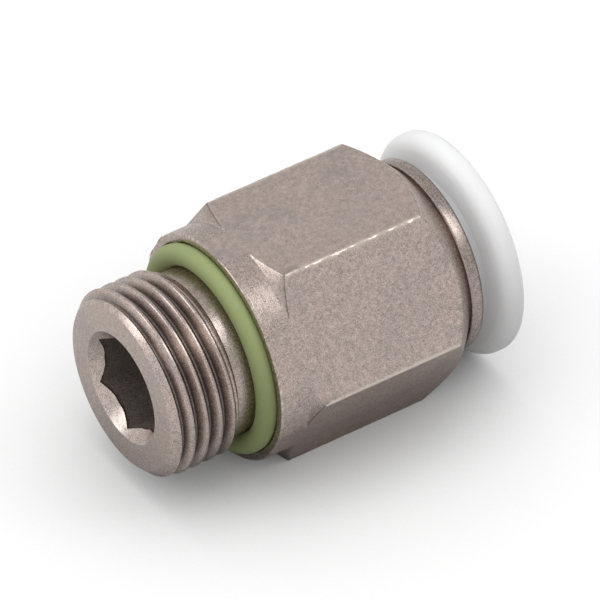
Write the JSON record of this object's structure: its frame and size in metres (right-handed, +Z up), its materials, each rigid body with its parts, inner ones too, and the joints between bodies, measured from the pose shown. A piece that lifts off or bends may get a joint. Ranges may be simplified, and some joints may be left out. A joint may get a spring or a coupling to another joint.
{
  "type": "push-in fitting",
  "caption": "Straight male push-in fitting for 12 mm tube: threaded hollow stud with ring seal, hexagon body, pressed guide sleeve and sliding release ring.",
  "frame": {"origin": "on the surface that the fitting lies on, under the middle of its length and width", "axes": "+X along the fitting's axis from the threaded end to the release ring, +Z up from the lower flat of the hexagon, +Y completes the right-handed set"},
  "size_m": [0.034, 0.023, 0.02],
  "materials": {
    "nickel_plated_brass": "nickel plated, satin, turned from hexagon bar",
    "nickel_plated_sleeve": "nickel plated, fine turned",
    "green_rubber": "matt moulded",
    "black_rubber": "matt moulded",
    "grey_acetal": "matt moulded",
    "spring_steel": "bright rolled strip",
    "white_acetal": "smooth moulded, soft sheen"
  },
  "bodies": {
    "fitting": {"body": "nickel_plated_brass", "thread_seal": "green_rubber", "tube_seal": "black_rubber", "spacer_ring": "grey_acetal", "claw_ring": "spring_steel", "guide_sleeve": "nickel_plated_sleeve"},
    "release": {"release_ring": "white_acetal"}
  },
  "joints": [
    {"name": "release_push", "type": "slide", "parent": "fitting", "child": "release", "axis": [-1, 0, 0], "range_m": [0, 0.0011], "stiffness_N_per_m": 1500}
  ]
}
